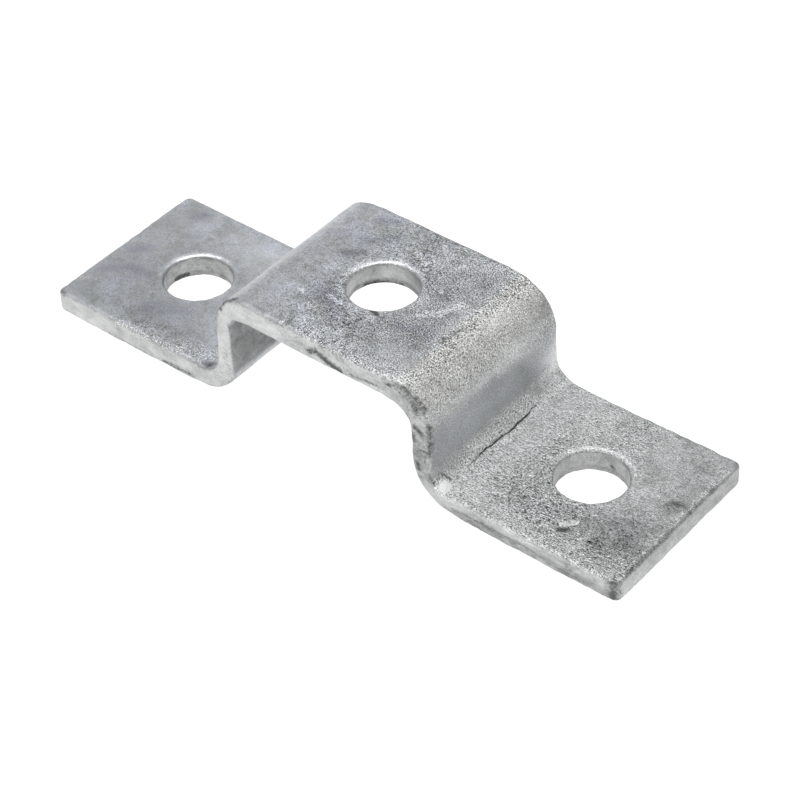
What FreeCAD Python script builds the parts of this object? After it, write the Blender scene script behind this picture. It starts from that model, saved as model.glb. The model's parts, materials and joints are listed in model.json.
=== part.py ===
# U bracket: a flat steel bar folded four times into a hat, so that it straddles a strut channel.
# The origin is on the surface that the two flanges rest on, under the middle of the top hole's row of three.
# +X runs along the bar, +Y across it and +Z up from the flanges to the top plate.
import FreeCAD, Part
import math
import os
import Sketcher

# Driving dimensions in millimetres: alias, value and what it measures.
# The press has drawn the two webs unequally: the left one is thinner and its upper fold sharper.
DIMENSIONS = [
    ("strip_width", 40.0, "width of the flat bar"),
    ("strip_thickness", 5.0, "thickness of the top plate and of both flanges"),
    ("channel_height", 21.5, "clear height under the top plate"),
    ("left_gap", 21.4, "from the top hole's axis to the inside of the left web"),
    ("right_gap", 22.4, "from the top hole's axis to the inside of the right web"),
    ("left_web_thickness", 4.0, "left web, drawn thin by the press"),
    ("right_web_thickness", 4.6, "right web"),
    ("left_top_inside_radius", 2.5, "left upper fold, under the plate"),
    ("left_top_outside_radius", 8.0, "left upper fold, on the skin"),
    ("right_top_inside_radius", 4.2, "right upper fold, under the plate"),
    ("right_top_outside_radius", 9.6, "right upper fold, on the skin"),
    ("left_foot_inside_radius", 4.3, "left lower fold, in the corner above the flange"),
    ("left_foot_outside_radius", 9.2, "left lower fold, on the underside"),
    ("right_foot_inside_radius", 4.3, "right lower fold, in the corner above the flange"),
    ("right_foot_outside_radius", 9.8, "right lower fold, on the underside"),
    ("hole_diameter", 14.2, "the three punched holes"),
    ("hole_pitch", 49.0, "from the top hole to each flange hole"),
    ("hole_to_end", 20.3, "from a flange hole to the end of its flange"),
    ("hole_offset", 0.4, "how far the row of holes lies off the middle of the bar"),
    ("corner_radius", 1.5, "plan radius of the four outer corners"),
    ("edge_radius", 0.8, "rounding along the sheared edges of the bar"),
    ("punch_rim_radius", 0.7, "rounding where the punch entered a hole"),
]
TINY = 0.01
FIRST, LAST = 1, 2
ORIGIN = (-1, FIRST)


def make_sheet(doc):
    """The sheet of driving dimensions: a note in column A and the aliased value in column B."""
    sheet = doc.addObject("Spreadsheet::Sheet", "Dimensions")
    for row, (alias, value, note) in enumerate(DIMENSIONS, 1):
        sheet.set(f"A{row}", note)
        sheet.set(f"B{row}", str(value))
        sheet.setAlias(f"B{row}", alias)
    doc.recompute()
    return sheet


def from_sheet(text):
    """An expression in which every alias is read from the sheet."""
    return " ".join(f"Dimensions.{word}" if word[0].isalpha() else word for word in text.split())


def new_sketch(body, name, role):
    """An empty sketch on one of the body's own origin planes."""
    sketch = body.newObject("Sketcher::SketchObject", name)
    plane = next(feature for feature in body.Origin.OriginFeatures if feature.Role == role)
    sketch.AttachmentSupport = (plane, [""])
    sketch.MapMode = "FlatFace"
    return sketch


def name_size(sketch, name, constraint, text):
    """Adds a dimension to the sketch and binds it to the sheet."""
    index = sketch.addConstraint(constraint)
    sketch.renameConstraint(index, name)
    sketch.setExpression(f"Constraints.{name}", from_sheet(text))


def point(x, y):
    return FreeCAD.Vector(x, y, 0)


def line(x0, y0, x1, y1):
    return Part.LineSegment(point(x0, y0), point(x1, y1))


def quarter(x, y, radius, start_degrees):
    """A quarter circle that runs anticlockwise from the given angle."""
    start = math.radians(start_degrees)
    circle = Part.Circle(point(x, y), FreeCAD.Vector(0, 0, 1), radius)
    return Part.ArcOfCircle(circle, start, start + math.pi / 2)


def draw_side(sketch, size, name, side):
    """One web with its two folds and its flange, seen edge on. Lines run outwards and downwards."""
    bar = size.strip_thickness
    under = size.channel_height
    inside = getattr(size, f"{name}_gap")
    outside = inside + getattr(size, f"{name}_web_thickness")
    end = size.hole_pitch + size.hole_to_end
    top_in = getattr(size, f"{name}_top_inside_radius")
    top_out = getattr(size, f"{name}_top_outside_radius")
    foot_in = getattr(size, f"{name}_foot_inside_radius")
    foot_out = getattr(size, f"{name}_foot_outside_radius")
    upper, lower = (0, 180) if side > 0 else (90, 270)

    def place(x0, y0, x1, y1):
        return line(side * x0, y0, side * x1, y1)

    def fold(x, y, radius, start_degrees):
        return quarter(side * x, y, radius, start_degrees)

    shapes = {
        "top_out": fold(outside - top_out, under + bar - top_out, top_out, upper),
        "web_out": place(outside, under + bar - top_out, outside, bar + foot_in),
        "foot_in": fold(outside + foot_in, bar + foot_in, foot_in, lower),
        "flange_top": place(outside + foot_in, bar, end, bar),
        "flange_end": place(end, bar, end, 0),
        "flange_under": place(inside + foot_out, 0, end, 0),
        "foot_out": fold(inside + foot_out, foot_out, foot_out, lower),
        "web_in": place(inside, under - top_in, inside, foot_out),
        "top_in": fold(inside - top_in, under - top_in, top_in, upper),
    }
    edge = {key: sketch.addGeometry(shape, False) for key, shape in shapes.items()}
    at_web, away = (FIRST, LAST) if side > 0 else (LAST, FIRST)

    for a, a_end, b, b_end in (
        ("top_out", at_web, "web_out", FIRST),
        ("web_out", LAST, "foot_in", at_web),
        ("foot_in", away, "flange_top", FIRST),
        ("flange_under", FIRST, "foot_out", away),
        ("foot_out", at_web, "web_in", LAST),
        ("web_in", FIRST, "top_in", at_web),
    ):
        sketch.addConstraint(Sketcher.Constraint("Tangent", edge[a], a_end, edge[b], b_end))
    sketch.addConstraint(Sketcher.Constraint("Coincident", edge["flange_top"], LAST, edge["flange_end"], FIRST))
    sketch.addConstraint(Sketcher.Constraint("Coincident", edge["flange_end"], LAST, edge["flange_under"], LAST))
    for key in ("flange_top", "flange_under"):
        sketch.addConstraint(Sketcher.Constraint("Horizontal", edge[key]))
    for key in ("web_out", "flange_end", "web_in"):
        sketch.addConstraint(Sketcher.Constraint("Vertical", edge[key]))
    sketch.addConstraint(Sketcher.Constraint("PointOnObject", edge["flange_under"], FIRST, -1))

    def outwards(label, start, finish, value, text):
        ends = (*start, *finish) if side > 0 else (*finish, *start)
        name_size(sketch, f"{name}_{label}", Sketcher.Constraint("DistanceX", *ends, value), text)

    outwards("inside", ORIGIN, (edge["web_in"], FIRST), inside, f"{name}_gap")
    outwards("web", (edge["web_in"], FIRST), (edge["web_out"], LAST), outside - inside, f"{name}_web_thickness")
    outwards("length", ORIGIN, (edge["flange_top"], LAST), end, "hole_pitch + hole_to_end")
    flange_bar = Sketcher.Constraint("DistanceY", edge["flange_end"], LAST, edge["flange_end"], FIRST, bar)
    name_size(sketch, f"{name}_flange_bar", flange_bar, "strip_thickness")
    for key, words in (
        ("top_in", "top_inside"),
        ("top_out", "top_outside"),
        ("foot_in", "foot_inside"),
        ("foot_out", "foot_outside"),
    ):
        alias = f"{name}_{words}_radius"
        name_size(sketch, alias, Sketcher.Constraint("Radius", edge[key], getattr(size, alias)), alias)
    return edge, away


def draw_section(sketch, size):
    """Closed outline of the whole folded bar seen edge on: two sides joined by the top plate's two lines."""
    left, left_away = draw_side(sketch, size, "left", -1)
    right, right_away = draw_side(sketch, size, "right", 1)
    for label, fold, height, text in (
        ("plate_top", "top_out", size.channel_height + size.strip_thickness, "channel_height + strip_thickness"),
        ("plate_under", "top_in", size.channel_height, "channel_height"),
    ):
        start = sketch.getPoint(left[fold], left_away)
        finish = sketch.getPoint(right[fold], right_away)
        plate = sketch.addGeometry(line(start.x, start.y, finish.x, finish.y), False)
        sketch.addConstraint(Sketcher.Constraint("Tangent", left[fold], left_away, plate, FIRST))
        sketch.addConstraint(Sketcher.Constraint("Tangent", plate, LAST, right[fold], right_away))
        sketch.addConstraint(Sketcher.Constraint("Horizontal", plate))
        name_size(sketch, label, Sketcher.Constraint("DistanceY", *ORIGIN, plate, FIRST, height), text)


def draw_holes(sketch, size):
    """Three circles in a row, a little off the middle of the bar: one in the top plate, one in each flange."""
    radius = size.hole_diameter / 2
    for name, side in (("left", -1), ("top", 0), ("right", 1)):
        circle = Part.Circle(point(side * size.hole_pitch, size.hole_offset), FreeCAD.Vector(0, 0, 1), radius)
        index = sketch.addGeometry(circle, False)
        centre = (index, 3)
        name_size(sketch, f"{name}_radius", Sketcher.Constraint("Radius", index, radius), "hole_diameter / 2")
        offset = Sketcher.Constraint("DistanceY", *ORIGIN, *centre, size.hole_offset)
        name_size(sketch, f"{name}_offset", offset, "hole_offset")
        if side == 0:
            sketch.addConstraint(Sketcher.Constraint("PointOnObject", *centre, -2))
            continue
        ends = (*centre, *ORIGIN) if side < 0 else (*ORIGIN, *centre)
        pitch = Sketcher.Constraint("DistanceX", *ends, size.hole_pitch)
        name_size(sketch, f"{name}_pitch", pitch, "hole_pitch")


def round_edges(body, name, base, wanted, radius_text):
    """Rounds the edges of the last feature that the test picks out."""
    edges = [f"Edge{n}" for n, edge in enumerate(base.Shape.Edges, 1) if wanted(edge)]
    if not edges:
        raise RuntimeError(f"{name} found no edge to round")
    fillet = body.newObject("PartDesign::Fillet", name)
    fillet.Base = (base, edges)
    fillet.setExpression("Radius", from_sheet(radius_text))
    body.Document.recompute()
    return fillet


def is_upright(edge):
    box = edge.BoundBox
    return box.XLength < TINY and box.YLength < TINY


def make_bracket(doc, size):
    """The folded bar, padded from its section, punched, and rounded along its edges."""
    body = doc.addObject("PartDesign::Body", "bracket")
    body.Label = "bracket"
    half_length = size.hole_pitch + size.hole_to_end
    half_width = size.strip_width / 2

    section = new_sketch(body, "FoldedSection", "XZ_Plane")
    draw_section(section, size)
    bar = body.newObject("PartDesign::Pad", "FoldedBar")
    bar.Profile = section
    bar.SideType = "Symmetric"
    bar.setExpression("Length", from_sheet("strip_width"))
    doc.recompute()
    volume_before = bar.Shape.Volume

    circles = new_sketch(body, "HoleCircles", "XY_Plane")
    draw_holes(circles, size)
    holes = body.newObject("PartDesign::Pocket", "PunchedHoles")
    holes.Profile = circles
    holes.Type = "ThroughAll"
    holes.Reversed = True
    doc.recompute()
    punched = 3 * math.pi * (size.hole_diameter / 2) ** 2 * size.strip_thickness
    if abs(volume_before - holes.Shape.Volume - punched) > 1:
        raise RuntimeError("the holes don't go through the bar")

    def at_corner(edge):
        middle = edge.CenterOfMass
        on_end = abs(abs(middle.x) - half_length) < TINY
        return is_upright(edge) and on_end and abs(abs(middle.y) - half_width) < TINY

    corners = round_edges(body, "OuterCorners", holes, at_corner, "corner_radius")

    def on_outline(edge):
        middle = edge.CenterOfMass
        beyond_end = half_length - abs(middle.x) < size.corner_radius + TINY
        on_side = half_width - abs(middle.y) < size.corner_radius + TINY
        return (beyond_end or on_side) and not (is_upright(edge) and beyond_end)

    outline = round_edges(body, "ShearedEdges", corners, on_outline, "edge_radius")

    def on_punch_rim(edge):
        if not isinstance(edge.Curve, Part.Circle) or len(edge.Vertexes) != 1:
            return False
        heights = (size.strip_thickness, size.channel_height + size.strip_thickness)
        on_height = any(abs(edge.Curve.Center.z - height) < TINY for height in heights)
        return on_height and abs(edge.Curve.Radius - size.hole_diameter / 2) < TINY

    round_edges(body, "PunchRims", outline, on_punch_rim, "punch_rim_radius")
    return body


def check(doc, bodies):
    """Stops if any feature failed, any sketch has no solution or can still move, or any solid isn't sound."""
    for item in doc.Objects:
        if "Invalid" in item.State or "Error" in item.State:
            raise RuntimeError(f"{item.Name} failed: {item.State}")
        if item.TypeId == "Sketcher::SketchObject":
            if item.solve() != 0:
                raise RuntimeError(f"{item.Name} has no solution")
            if not item.FullyConstrained:
                raise RuntimeError(f"{item.Name} can still move")
    for body in bodies:
        if body.Shape.isNull() or not body.Shape.isValid() or len(body.Shape.Solids) != 1:
            raise RuntimeError(f"{body.Label} isn't one sound solid")


def main():
    doc = FreeCAD.newDocument("u_bracket")
    size = make_sheet(doc)
    bodies = [make_bracket(doc, size)]
    doc.recompute()
    check(doc, bodies)
    os.makedirs("parts", exist_ok=True)
    for body in bodies:
        body.Shape.exportStep(os.path.join("parts", body.Label + ".step"))
        box = body.Shape.optimalBoundingBox(True, False)
        print(body.Label, round(body.Shape.Volume, 1), "mm3", len(body.Shape.Faces), "faces")
        print("size", round(box.XLength, 2), round(box.YLength, 2), round(box.ZLength, 2), "lowest", round(box.ZMin, 3))


main()
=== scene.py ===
# U bracket in hot-dip galvanised steel: one folded bar, modelled as one closed mesh over the CAD solid.
# Sizes below are in millimetres and angles in degrees. The bracket's box and its holes come from the frame.
import json
import math

import bmesh
import bpy
import numpy as np
from mathutils import Matrix, Vector, noise


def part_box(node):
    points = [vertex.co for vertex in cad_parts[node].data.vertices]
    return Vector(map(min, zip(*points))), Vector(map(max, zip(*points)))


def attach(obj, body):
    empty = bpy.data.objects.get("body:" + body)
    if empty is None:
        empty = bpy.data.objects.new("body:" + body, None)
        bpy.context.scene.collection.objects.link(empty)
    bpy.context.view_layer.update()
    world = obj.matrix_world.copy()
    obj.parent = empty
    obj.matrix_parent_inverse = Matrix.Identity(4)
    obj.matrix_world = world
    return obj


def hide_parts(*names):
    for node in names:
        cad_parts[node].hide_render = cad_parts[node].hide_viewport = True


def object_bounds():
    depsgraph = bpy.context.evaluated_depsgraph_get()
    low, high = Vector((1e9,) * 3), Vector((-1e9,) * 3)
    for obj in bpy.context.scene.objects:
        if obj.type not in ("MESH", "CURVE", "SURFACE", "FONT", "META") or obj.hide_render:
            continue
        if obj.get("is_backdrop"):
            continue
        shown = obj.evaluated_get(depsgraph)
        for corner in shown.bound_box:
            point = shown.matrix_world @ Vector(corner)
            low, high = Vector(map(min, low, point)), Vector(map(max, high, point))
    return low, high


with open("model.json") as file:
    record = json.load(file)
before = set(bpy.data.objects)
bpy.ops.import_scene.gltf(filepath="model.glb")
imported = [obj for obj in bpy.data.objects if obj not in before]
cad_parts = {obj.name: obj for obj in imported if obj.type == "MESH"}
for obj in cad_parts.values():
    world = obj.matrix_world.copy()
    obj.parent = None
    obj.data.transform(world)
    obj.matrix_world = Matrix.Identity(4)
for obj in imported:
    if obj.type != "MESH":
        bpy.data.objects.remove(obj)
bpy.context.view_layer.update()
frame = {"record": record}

MM = 0.001
LOW, HIGH = [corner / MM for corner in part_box("bracket")]
MOUNTS = {mount["name"]: mount for mount in frame["record"]["mounts"]}
HOLE_MOUNTS = ("left_flange_hole", "top_hole", "right_flange_hole")
HOLES = [Vector(MOUNTS[name]["pos_m"]) / MM for name in HOLE_MOUNTS]
HOLE_RADIUS = MOUNTS["top_hole"]["dims"]["r_mm"]

# The folded section. The press has drawn the left web thinner and its upper fold sharper.
BAR = 5.0
UNDER = HIGH.z - BAR
SECTION = {
    -1: {"inside": 21.4, "web": 4.0, "top_in": 2.5, "top_out": 8.0, "foot_in": 4.3, "foot_out": 9.2},
    1: {"inside": 22.4, "web": 4.6, "top_in": 4.2, "top_out": 9.6, "foot_in": 4.3, "foot_out": 9.8},
}
CORNER = 1.5
EDGE = 0.8
PUNCH_RIM = 0.7
DIE_RIM = 0.25

# Each fold is an arc in the XZ plane, and these are its first and last angle on the right side.
TOP_ARC = (90, 0)
FOOT_ARC = (180, 270)

# Mesh fineness.
CELL = 0.48
CRACK_CELL = 0.2
HOLE_SQUARE = 11.5
CORNER_CELLS = 2
EDGE_CELLS = 4
SIDE_CELLS = 7
RIM_CELLS = 4

# The camera that the photograph's outline gives.
CAMERA_AT = Vector((249.64, -299.18, 339.97))
CAMERA_AIM = Vector((9.44, -7.01, 8.0))
CAMERA_ROLL = -1.475
CAMERA_LENS = 118.67
SENSOR = 36.0
CAMERA_CLIP = 10.0


def steps(length, cell=CELL):
    return max(2, math.ceil(length / cell))


def arc_run(centre, radius, arc, count, inwards):
    """Points and outward normals of an arc in the XZ plane, without its first point."""
    angle = np.radians(np.linspace(*arc, count + 1)[1:])
    spoke = np.column_stack([np.cos(angle), np.sin(angle)])
    return np.array(centre) + radius * spoke, -spoke if inwards else spoke


def line_run(start, finish, count, normal):
    """Points and normals of a straight run, without its first point."""
    share = np.linspace(0, 1, count + 1)[1:, None]
    points = np.array(start) * (1 - share) + np.array(finish) * share
    return points, np.tile(np.array(normal, float), (count, 1))


def side_runs(side):
    """Stations of one side, for the skin and the underside: x and z of each, with its outward normal.

    They run from the top hole's square to the bar's end. Also gives the span of the flange hole's square.
    """
    form = SECTION[side]
    inside = form["inside"]
    outside = inside + form["web"]
    hole = abs(HOLES[1 + side].x)
    near, far = hole - HOLE_SQUARE, hole + HOLE_SQUARE
    end = HIGH.x - EDGE
    corner = end - (CORNER - EDGE)
    plate = steps(outside - form["top_out"] - HOLE_SQUARE)
    fold = steps(form["top_out"] * math.pi / 2)
    web = steps(HIGH.z - form["top_out"] - BAR - form["foot_in"])
    foot_cell = CRACK_CELL if side > 0 else CELL
    foot_in_steps = steps(form["foot_in"] * math.pi / 2, foot_cell)
    foot = max(foot_in_steps, steps(form["foot_out"] * math.pi / 2, 2 * CELL))
    flat = steps(near - outside - form["foot_in"])
    square = steps(2 * HOLE_SQUARE)
    rest = steps(corner - far)
    mirror = np.array([side, 1.0])
    rows = []
    for high, wall, low, top_radius, foot_radius, way in (
        (HIGH.z, outside, BAR, form["top_out"], form["foot_in"], 1),
        (UNDER, inside, 0, form["top_in"], form["foot_out"], -1),
    ):
        top_x, top_z = wall - top_radius, high - top_radius
        foot_x, foot_z = wall + foot_radius, low + foot_radius
        runs = [
            line_run((HOLE_SQUARE, high), (top_x, high), plate, (0, way)),
            arc_run((top_x, top_z), top_radius, TOP_ARC, fold, way < 0),
            line_run((wall, top_z), (wall, foot_z), web, (way, 0)),
            arc_run((foot_x, foot_z), foot_radius, FOOT_ARC, foot, way > 0),
            line_run((foot_x, low), (near, low), flat, (0, way)),
            line_run((near, low), (far, low), square, (0, way)),
            line_run((far, low), (corner, low), rest, (0, way)),
            line_run((corner, low), (end, low), CORNER_CELLS, (0, way)),
        ]
        points = np.vstack([run[0] for run in runs]) * mirror
        normals = np.vstack([run[1] for run in runs]) * mirror
        rows.append(np.hstack([points, normals]))
    before = plate + fold + web + foot + flat
    return rows, (before, before + square)


def stations():
    """All stations from the left end to the right end, and the spans of the three hole squares."""
    left, (left_near, left_far) = side_runs(-1)
    right, (right_near, right_far) = side_runs(1)
    square = steps(2 * HOLE_SQUARE)
    skins = []
    for left_rows, right_rows, high, way in zip(left, right, (HIGH.z, UNDER), (1, -1)):
        start = np.array([[-HOLE_SQUARE, high, 0, way]])
        middle = np.hstack(line_run((-HOLE_SQUARE, high), (HOLE_SQUARE, high), square, (0, way)))
        skins.append(np.vstack([left_rows[::-1], start, middle, right_rows]))
    first = len(left[0])
    last = first + square
    spans = [(first - left_far, first - left_near), (first, last), (last + right_near, last + right_far)]
    return *skins, spans


def across():
    """Places of the mesh lines across the bar, and the span of the hole squares among them."""
    edge = HIGH.y - EDGE
    inner = edge - (CORNER - EDGE)
    near, far = HOLES[1].y - HOLE_SQUARE, HOLES[1].y + HOLE_SQUARE
    marks = [-edge, -inner, near, far, inner, edge]
    counts = [CORNER_CELLS, steps(near + inner), steps(far - near), steps(inner - far), CORNER_CELLS]
    places = [np.array([-edge])]
    for start, finish, count in zip(marks, marks[1:], counts):
        places.append(np.linspace(start, finish, count + 1)[1:])
    return np.concatenate(places), (sum(counts[:2]), sum(counts[:3]))


class BarMesh:
    """Collects vertices in millimetres, with how far each one is on a cut face, and faces."""

    def __init__(self):
        self.points = []
        self.cut = []
        self.faces = []

    def add(self, x, y, z, cut=0.0):
        self.points.append((x, y, z))
        self.cut.append(cut)
        return len(self.points) - 1

    def bridge(self, ring, following):
        """Quads between two closed rings of equal length."""
        for k in range(len(ring)):
            j = (k + 1) % len(ring)
            self.faces.append((ring[k], ring[j], following[j], following[k]))


def outline(first, last, low, high):
    """Places round a block of a grid, from its first column and row."""
    loop = [(i, low) for i in range(first, last)] + [(last, j) for j in range(low, high)]
    return loop + [(i, high) for i in range(last, first, -1)] + [(first, j) for j in range(high, low, -1)]


def round_corner(i, j, columns, rows):
    """Where a crossing in a corner block of the mesh moves to, so that the corner is a quarter circle."""
    from_end_i = min(i, columns - 1 - i)
    from_end_j = min(j, rows - 1 - j)
    if from_end_i > CORNER_CELLS or from_end_j > CORNER_CELLS:
        return None
    a = (CORNER_CELLS - from_end_i) / CORNER_CELLS
    b = (CORNER_CELLS - from_end_j) / CORNER_CELLS
    reach = max(a, b)
    if reach == 0:
        return None
    turn = math.pi / 4 * min(a, b) / reach
    along, over = (math.cos(turn), math.sin(turn)) if a >= b else (math.sin(turn), math.cos(turn))
    return reach * along, reach * over


def sheet(mesh, rows, places, spans, rows_span):
    """One skin of the bar as a grid with three square gaps: its table of vertices and its outline."""
    columns, lines = len(rows), len(places)
    radius = CORNER - EDGE
    table = -np.ones((columns, lines), int)
    turned = {}
    for i, (x, z, _, _) in enumerate(rows):
        in_square = any(first < i < last for first, last in spans)
        for j, y in enumerate(places):
            if in_square and rows_span[0] < j < rows_span[1]:
                continue
            at_x, at_y = x, y
            corner = round_corner(i, j, columns, lines)
            if corner:
                side_x, side_y = math.copysign(1, x), math.copysign(1, y)
                at_x = side_x * (HIGH.x - CORNER + radius * corner[0])
                at_y = side_y * (HIGH.y - CORNER + radius * corner[1])
                turned[i, j] = (side_x * corner[0], side_y * corner[1])
            table[i, j] = mesh.add(at_x, at_y, z)
    for i in range(columns - 1):
        for j in range(lines - 1):
            quad = (table[i, j], table[i + 1, j], table[i + 1, j + 1], table[i, j + 1])
            in_square = any(first <= i < last for first, last in spans) and rows_span[0] <= j < rows_span[1]
            if not in_square:
                mesh.faces.append(tuple(int(v) for v in quad))
    loop = outline(0, columns - 1, 0, lines - 1)
    outward = []
    for i, j in loop:
        if (i, j) in turned:
            outward.append(turned[i, j])
        elif j in (0, lines - 1):
            outward.append((0.0, math.copysign(1, places[j])))
        else:
            outward.append((math.copysign(1, rows[i][0]), 0.0))
    return table, loop, outward


def edge_ring(mesh, table, loop, outward, rows, turn):
    """One ring of a rounded edge: turn is 0 on the skin and 90 degrees on the cut side."""
    out = EDGE * math.sin(math.radians(turn))
    sink = EDGE * (1 - math.cos(math.radians(turn)))
    ring = []
    for (i, j), (out_x, out_y) in zip(loop, outward):
        x, y, z = mesh.points[table[i, j]]
        normal_x, normal_z = rows[i][2], rows[i][3]
        at_x = x + out_x * out - normal_x * sink
        ring.append(mesh.add(at_x, y + out_y * out, z - normal_z * sink, turn / 90))
    return ring


def perimeter(mesh, skin, belly, skin_sheet, belly_sheet):
    """The rounded edges and the cut side that join the two skins all the way round."""
    rings = []
    for rows, (table, loop, outward), order in ((skin, skin_sheet, 1), (belly, belly_sheet, -1)):
        own = [[int(table[i, j]) for i, j in loop]]
        for k in range(1, EDGE_CELLS + 1):
            own.append(edge_ring(mesh, table, loop, outward, rows, 90 * k / EDGE_CELLS))
        rings.append(own[::order])
    upper, lower = rings
    side = []
    for k in range(1, SIDE_CELLS):
        share = k / SIDE_CELLS
        ring = []
        for a, b in zip(upper[-1], lower[0]):
            p, q = np.array(mesh.points[a]), np.array(mesh.points[b])
            ring.append(mesh.add(*(p * (1 - share) + q * share), 1.0))
        side.append(ring)
    stack = upper + side + lower
    for ring, following in zip(stack, stack[1:]):
        mesh.bridge(ring, following)


def punch_hole(mesh, hole, span, rows_span, tables, heights):
    """Fills the square gap on both skins down to the punched hole, with its rims and wall."""
    loop = outline(*span, *rows_span)
    squares = [[int(table[i, j]) for i, j in loop] for table in tables]
    angles = [math.atan2(mesh.points[v][1] - hole.y, mesh.points[v][0] - hole.x) for v in squares[0]]
    spokes = [(math.cos(angle), math.sin(angle)) for angle in angles]

    def ring(radius, z, cut):
        return [mesh.add(hole.x + radius * a, hole.y + radius * b, z, cut) for a, b in spokes]

    stacks = []
    for square, rim, z, inward in zip(squares, (PUNCH_RIM, DIE_RIM), heights, (-1, 1)):
        own = [square]
        rim_radius = HOLE_RADIUS + rim
        count = steps(HOLE_SQUARE - rim_radius)
        for k in range(1, count + 1):
            share = k / count
            own.append([])
            for vertex, (way_x, way_y) in zip(square, spokes):
                x, y, _ = mesh.points[vertex]
                to_x = hole.x + rim_radius * way_x - x
                to_y = hole.y + rim_radius * way_y - y
                own[-1].append(mesh.add(x + to_x * share, y + to_y * share, z))
        for k in range(1, RIM_CELLS + 1):
            turn = math.pi / 2 * k / RIM_CELLS
            radius = HOLE_RADIUS + rim * (1 - math.sin(turn))
            own.append(ring(radius, z + inward * rim * (1 - math.cos(turn)), k / RIM_CELLS))
        stacks.append(own)
    upper, lower = stacks[0], stacks[1][::-1]
    wall_top, wall_foot = heights[0] - PUNCH_RIM, heights[1] + DIE_RIM
    levels = np.linspace(wall_top, wall_foot, steps(wall_top - wall_foot) + 1)[1:-1]
    wall = [ring(HOLE_RADIUS, level, 1.0) for level in levels]
    stack = upper + wall + lower
    for one, following in zip(stack, stack[1:]):
        mesh.bridge(one, following)


def build_bar():
    """The closed mesh of the bar in millimetres."""
    mesh = BarMesh()
    skin, belly, spans = stations()
    places, rows_span = across()
    skin_sheet = sheet(mesh, skin, places, spans, rows_span)
    belly_sheet = sheet(mesh, belly, places, spans, rows_span)
    perimeter(mesh, skin, belly, skin_sheet, belly_sheet)
    for hole, span in zip(HOLES, spans):
        heights = (HIGH.z, UNDER) if abs(hole.x) < HOLE_SQUARE else (BAR, 0)
        punch_hole(mesh, hole, span, rows_span, (skin_sheet[0], belly_sheet[0]), heights)
    return mesh


def new_object(name, data):
    thing = bpy.data.objects.new(name, data)
    bpy.context.scene.collection.objects.link(thing)
    return thing


def make_object(mesh):
    """A Blender object from the collected mesh, in metres, with its normals pointing out."""
    data = bpy.data.meshes.new("galvanised_bar")
    data.from_pydata((np.array(mesh.points) * MM).tolist(), [], mesh.faces)
    data.update()
    work = bmesh.new()
    work.from_mesh(data)
    bmesh.ops.recalc_face_normals(work, faces=work.faces)
    work.to_mesh(data)
    work.free()
    data.shade_smooth()
    return new_object("galvanised_bar", data)


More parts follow.
